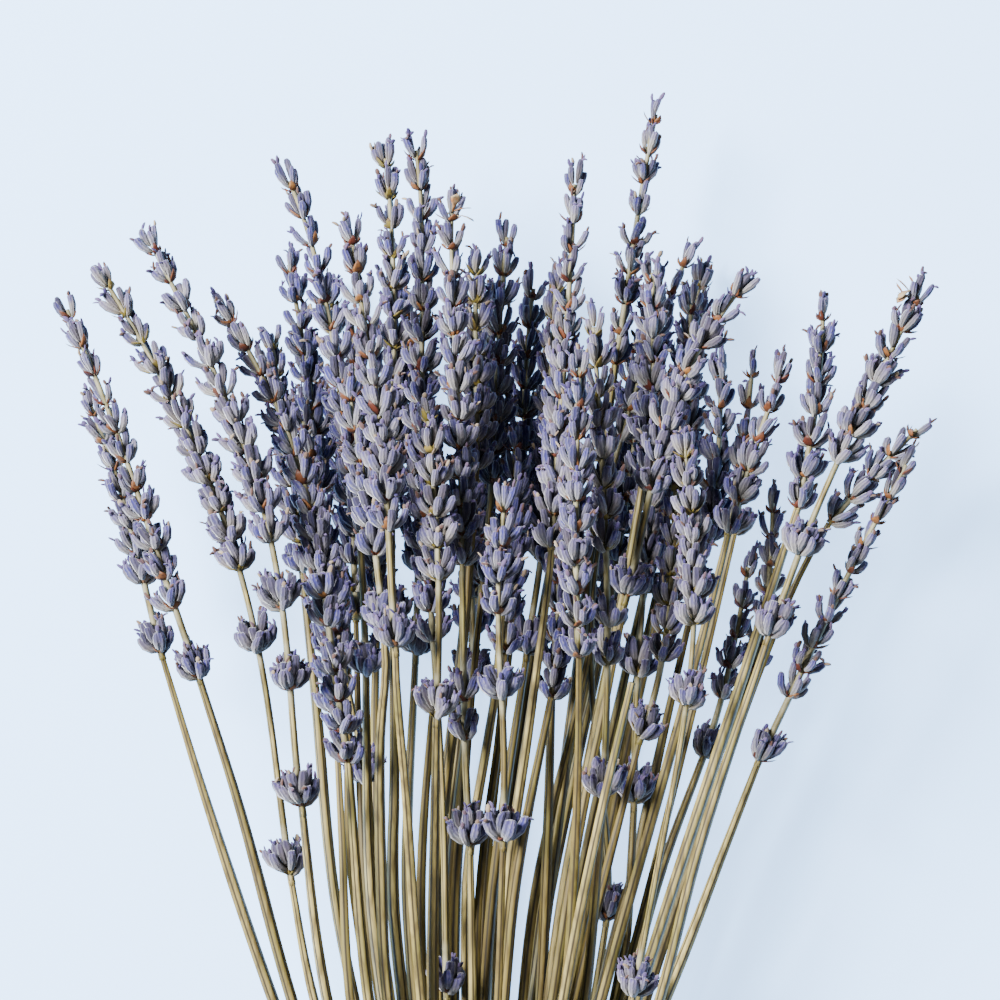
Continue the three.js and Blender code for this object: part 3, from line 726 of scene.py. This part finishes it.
# one head, with all that grows on its stalk. A calyx is a tube along a leaning line, bent a little to one
# side by the square of the distance along it.
def makeHead(name, number):
    rng = np.random.default_rng(head["seed"] + number)
    corners = readNode(name)[0]
    distance, place, heading = readMidline(corners)
    radii = np.linalg.norm(corners - place(distance), axis=1)
    whorls = readWhorls(distance, radii)
    sets = [whorlCalyxes(rng, *whorl, place, heading) for whorl in whorls]
    every = {key: np.concatenate([one[key] for one in sets]) for key in sets[0]}
    count = len(every["lean"])

    x, z = ((corners.mean(0) - aim) / mm)[[0, 2]]
    tint = sum(np.exp(-((x - middle) / wide) ** 2) for middle, wide in blue["places"])
    # painted shade: heads low in the bunch get more blue, which is darker
    tint = tint + (z < blue["low"]) * blue["lowShare"]
    tint = np.clip(blue["share"] * tint + rng.uniform(*blue["chance"]), 0, 1)
    facts = {"fresh": float(rng.random() < head["green"]), "felted": 0, "deep": 0}

    first = np.minimum(every["lean"] * calyxes["footLean"], calyxes["steepest"])
    last = every["lean"] * calyxes["tipLean"]
    lines, across, through = leaningLines(
        every["root"], every["out"], every["way"], first, last, every["length"], calyxShape[:, 0])
    bend = rng.normal(0, calyxes["bend"], count)[:, None] * every["length"][:, None] * calyxShape[:, 0] ** 2
    lines = lines + across * bend[..., None]
    wide = every["size"][:, None] * calyxes["radius"] * calyxShape[:, 1]
    wide[:, mouthRings] *= rng.uniform(*calyxes["mouthChance"], count)[:, None]
    pale, change, chance = calyxes["tone"]
    tone = {"tone": np.clip(rng.normal(pale + change * tint, chance, count), 0, 1), "deep": every["deep"]}
    deep = wide * calyxes["depth"]
    slot = headMaterials.index(calyx)
    sides, fluting = calyxes["sides"], calyxes["fluting"]
    surfaces = [tubes(lines, across, through, wide, deep, sides, slot, {**facts, **tone}, fluting)]
    surfaces.append(makeFlorets(rng, lines, facts))
    surfaces.append(makeBracts(rng, whorls, place, heading, facts))

    root, way = place(whorls[-1][0]), heading(whorls[-1][0])
    for spot in petals["spots"]:
        towards = np.append(spot + aim[:2] - root[:2], petals["lift"])
        if np.linalg.norm(towards) < petals["near"]:
            surfaces.append(makePetals(rng, root, unit(towards), way, facts))
    surfaces.append(makeStalk(distance, whorls, place, heading, facts))

    piece = makePiece("spray" + name[4:], surfaces, headMaterials)
    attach(piece, "root")
    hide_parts(name)
    return count


headNames = sorted(name for name in nodes if name.startswith("head"))
calyxCount = sum(makeHead(name, number) for number, name in enumerate(headNames))
print(len(headNames), "heads,", calyxCount, "calyxes")

stems = {
    "seed": 500,
    "cadWidth": 2 * mm,  # of the CAD's rods, along a side
    "width": 2.7 * mm,  # across the corners of its square
    "widthChance": (0.88, 1.1),
    "sides": 8,
    "fluting": 0.28,  # how much nearer than the corners the middles of its sides are
    "squeeze": 0.15,  # the share that the band takes off its width
    "squeezeReach": 60 * mm,
    "swelling": 0.01,  # how much its half width grows with the distance down from its head
    "twist": 1.0,
    "bundle": 46 * mm,  # above the band the stems of a layer are apart from here on
    "tail": 15 * mm,  # and below it from here on
    "order": 60 * mm,  # their order across is read here, above the band
    "held": 4 * mm,  # they are straight so far each way from the band's middle
    "inBand": 5 * mm,  # and their places are read from the corners so near to it
    "cap": 0.4 * mm,  # from the last level that is read to the cut
    "step": 6 * mm,
    "level": 0.02 * mm,  # corners nearer than this are at one level
}


# which corners belong to a rod's square rings: another stands level with them, one rod's width away. The
# others lie where two rods touch.
def inRings(corners):
    gap = corners[:, None] - corners
    level = (np.abs(gap[..., 1:]) < stems["level"]).all(-1)
    return (level & (np.abs(np.abs(gap[..., 0]) - stems["cadWidth"]) < 1.5 * stems["level"])).any(1)


# the groups of corners that triangles join, with only the triangles whose corners all pass: each corner
# takes the least number among those it is joined to, until none changes. A rod has at least four corners.
def joinedGroups(corners, triangles, passes):
    label = np.arange(len(corners))
    edges = triangles[passes[triangles].all(1)]
    before = None
    while before is None or (label != before).any():
        before = label.copy()
        least = label[edges].min(1)
        for k in range(3):
            np.minimum.at(label, edges[:, k], least)
    groups = [np.flatnonzero((label == own) & passes) for own in np.unique(label[passes])]
    return [group for group in groups if len(group) >= 4]


# the midline of one rod: the middle of the four corners at each of its levels
def ringMiddles(corners):
    levels = np.unique(np.round(corners[:, 1], 5))
    near = [np.abs(corners[:, 1] - level) < stems["level"] for level in levels]
    return np.array([corners[rows].mean(0) for rows in near if rows.sum() >= 4])


# the stems of a layer: above and below the band each is a group of its own, and through the band they lie
# side by side, evenly
def readStems(name):
    corners, triangles = readNode(name)
    y = corners[:, 1] - bandMiddle[1]
    ring = inRings(corners)
    above = joinedGroups(corners, triangles, ring & (y > stems["bundle"]))
    below = joinedGroups(corners, triangles, ring & (y < -stems["tail"]))
    upper = [ringMiddles(corners[group]) for group in above]
    lower = [ringMiddles(corners[group]) for group in below]
    upper.sort(key=lambda line: np.interp(bandMiddle[1] + stems["order"], line[:, 1], line[:, 0]))
    lower.sort(key=lambda line: line[0, 0])
    inBand = corners[np.abs(y) < stems["inBand"]]
    half = stems["width"] / 2
    places = np.linspace(inBand[:, 0].min() + half, inBand[:, 0].max() - half, len(upper))
    height = (inBand[:, 2].min() + inBand[:, 2].max()) / 2
    lines = []
    for high, low, x in zip(upper, lower, places):
        held = np.array([[x, bandMiddle[1] + dy, height] for dy in (-stems["held"], stems["held"])])
        lines.append(np.concatenate([low[:1], held, high]))
    return lines


# a smooth line through a stem's points, at even steps: a cubic in each direction against Y
def smoothLine(points):
    y = points[:, 1]
    slope = np.diff(points, axis=0) / np.diff(y)[:, None]
    middle = np.concatenate([slope[:1], 0.5 * (slope[1:] + slope[:-1]), slope[-1:]])
    t = np.linspace(y[0], y[-1], int((y[-1] - y[0]) / stems["step"]) + 2)
    k = np.clip(np.searchsorted(y, t, side="right") - 1, 0, len(y) - 2)
    h = (y[k + 1] - y[k])[:, None]
    u = ((t - y[k])[:, None]) / h
    start = points[k] * (1 + 2 * u) * (1 - u) ** 2 + middle[k] * h * u * (1 - u) ** 2
    return start + points[k + 1] * u**2 * (3 - 2 * u) + middle[k + 1] * h * u**2 * (u - 1)


# the half width of a stem along its line: even, less under the band by a bell curve, and near its head no
# more than the stalk's own, plus a share of the distance from it
def stemThickness(rng, y):
    thick = np.full(len(y), stems["width"] * 0.5 * rng.uniform(*stems["widthChance"]))
    thick *= 1 - stems["squeeze"] * np.exp(-((y - bandMiddle[1]) / stems["squeezeReach"]) ** 2)
    return np.minimum(thick, stalk["radius"] * stalk["taper"][0] + stems["swelling"] * (y[-1] - y))[None]


# one layer of stems: each is a square, slowly twisted tube along a smooth line
def makeStems(name, number):
    rng = np.random.default_rng(stems["seed"] + number)
    surfaces = []
    for points in readStems(name):
        line = smoothLine(points)
        way = unit(np.gradient(line, axis=0))
        end = line[-1:] + way[-1:] * stems["cap"]
        line = np.concatenate([line[:1], line, end, end])
        way = np.concatenate([way[:1], way, way[-1:], way[-1:]])
        twist = (rng.uniform(0, turn) + np.linspace(0, rng.normal(0, stems["twist"]), len(line)))[:, None]
        side, up = sideways(way)
        across = side * np.cos(twist) + up * np.sin(twist)
        through = np.cross(across, way)
        thick = stemThickness(rng, line[:, 1])
        facts = {"tone": stemTone(points[-1]), "felted": 0}
        tube = (line[None], across[None], through[None], thick, thick, stems["sides"])
        surfaces.append(tubes(*tube, 0, facts, stems["fluting"]))
    piece = makePiece("stemLayer" + name[5:], surfaces, [stem])
    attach(piece, "root")
    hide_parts(name)
    return len(surfaces)


stemNames = sorted(name for name in nodes if name.startswith("stems"))
stemCount = sum(makeStems(name, number) for number, name in enumerate(stemNames))
print(len(stemNames), "layers of stems,", stemCount, "stems")

rubberBand = {
    "turns": 3,
    "start": 0.25,  # of a turn, which is on top
    "across": 1.1 * mm,  # half of a turn's width
    "thick": 0.72 * mm,  # half of its thickness
    "crossing": 0.12,  # the last share of its length, which runs back across the turns
    "crossingLift": 1.5 * mm,
    "touching": 90,  # lines that touch the CAD's band
    "least": 0.05,  # the least cosine that a touching line's distance is divided by
    "around": 480,
    "sides": 12,
}


# one loop of rubber: a helix round the outline of the CAD's band, whose last part runs back across its
# turns on top. The outline's distance in a direction is the least of the distances of the lines that touch
# the CAD's band all round.
def makeBand():
    flat = (readNode("band")[0] - bandMiddle)[:, [0, 2]]
    touching = np.linspace(0, turn, rubberBand["touching"], endpoint=False)
    support = (flat @ np.stack([np.cos(touching), np.sin(touching)])).max(0)
    t = np.linspace(0, 1, rubberBand["around"], endpoint=False)
    theta = turn * (rubberBand["turns"] * t + rubberBand["start"])
    distance = (support / np.maximum(np.cos(theta[:, None] - touching), rubberBand["least"])).min(1)
    wound = 1 - rubberBand["crossing"]
    crossing = np.clip((t - wound) / rubberBand["crossing"], 0, 1)
    eased = crossing**2 * (3 - 2 * crossing)
    pitch = (bandHigh[1] - bandLow[1]) / 2 - rubberBand["across"]
    y = -pitch + 2 * pitch * np.minimum(t / wound, 1) - 2 * pitch * eased
    distance = distance - rubberBand["thick"] + rubberBand["crossingLift"] * np.sin(np.pi * crossing) ** 2
    middle = bandMiddle + np.stack([distance * np.cos(theta), y, distance * np.sin(theta)], -1)
    way = unit(np.roll(middle, -1, 0) - np.roll(middle, 1, 0))
    out = np.stack([np.cos(theta), 0 * theta, np.sin(theta)], -1)
    across = unit(np.cross(out, way))
    out = np.cross(way, across)
    n = rubberBand["sides"]
    phi = (np.arange(n) / n * turn)[:, None]
    ring = across[:, None] * np.cos(phi) * rubberBand["across"]
    ring = ring + out[:, None] * np.sin(phi) * rubberBand["thick"]
    i, k = np.meshgrid(np.arange(rubberBand["around"]), np.arange(n), indexing="ij")
    i1, k1 = (i + 1) % rubberBand["around"], (k + 1) % n
    quads = np.stack([i * n + k, i1 * n + k, i1 * n + k1, i * n + k1], -1).reshape(-1, 4)
    surface = {
        "verts": (middle[:, None] + ring).reshape(-1, 3),
        "quads": quads,
        "tris": np.zeros((0, 3), int),
        "quadUvs": np.zeros((len(quads), 4, 2)),
        "triUvs": np.zeros((0, 3, 2)),
        "facts": {},
        "slot": 0,
    }
    piece = makePiece("rubberBand", [surface], [rubber])
    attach(piece, "root")
    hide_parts("band")


makeBand()
print("band made")

stage = {
    "floor": (0.2, 0.33, 0.52, 1),
    "floorReach": 12,
    "glow": ((0.4, 0.66, 1.06, 1), 2.9),  # the floor shines of itself, as a lit table does
    "cameraHeight": 1.2,
    "sharpHeight": 35 * mm,  # the height above the floor where the picture is pictureWidth wide
    "pictureWidth": 230 * mm,
    "sky": ((0.8, 0.9, 1.0, 1), 0.3),
    # name, place, size, watts
    "lamps": (("key", (-1.0, 0.6, 1.2), 0.6, 250), ("fill", (0.9, -0.6, 1.3), 1.2, 8)),
}


# the table: one big square
def makeFloor():
    mesh = bpy.data.meshes.new("floor")
    reach = stage["floorReach"]
    corners = [(-reach, -reach, 0), (reach, -reach, 0), (reach, reach, 0), (-reach, reach, 0)]
    mesh.from_pydata(corners, [], [(0, 1, 2, 3)])
    floor = bpy.data.objects.new("floor", mesh)
    bpy.context.scene.collection.objects.link(floor)
    look = Look("floorPaint", 0.9)
    colour, strength = stage["glow"]
    look.put(look.shader.inputs["Emission Color"], colour)
    look.put(look.shader.inputs["Emission Strength"], strength)
    mesh.materials.append(look.finish(stage["floor"]))


# the lamps aim at the middle of the table
def makeLights():
    world = bpy.data.worlds.new("studio")
    bpy.context.scene.world = world
    world.use_nodes = True
    colour, strength = stage["sky"]
    world.node_tree.nodes["Background"].inputs["Color"].default_value = colour
    world.node_tree.nodes["Background"].inputs["Strength"].default_value = strength
    for name, place, size, watts in stage["lamps"]:
        light = bpy.data.lights.new(name, "AREA")
        light.size = size
        light.energy = watts
        lamp = bpy.data.objects.new(name, light)
        lamp.location = place
        lamp.rotation_mode = "QUATERNION"
        lamp.rotation_quaternion = (-lamp.location).to_track_quat("-Z", "Y")
        bpy.context.scene.collection.objects.link(lamp)


# the camera looks straight down
def makeCamera():
    camera = bpy.data.cameras.new("camera")
    distance = stage["cameraHeight"] - stage["sharpHeight"]
    camera.lens = camera.sensor_width * distance / stage["pictureWidth"]
    eye = bpy.data.objects.new("camera", camera)
    eye.location = (aim[0], aim[1], stage["cameraHeight"])
    bpy.context.scene.collection.objects.link(eye)
    bpy.context.scene.camera = eye


makeFloor()
makeLights()
makeCamera()
print("stage made")
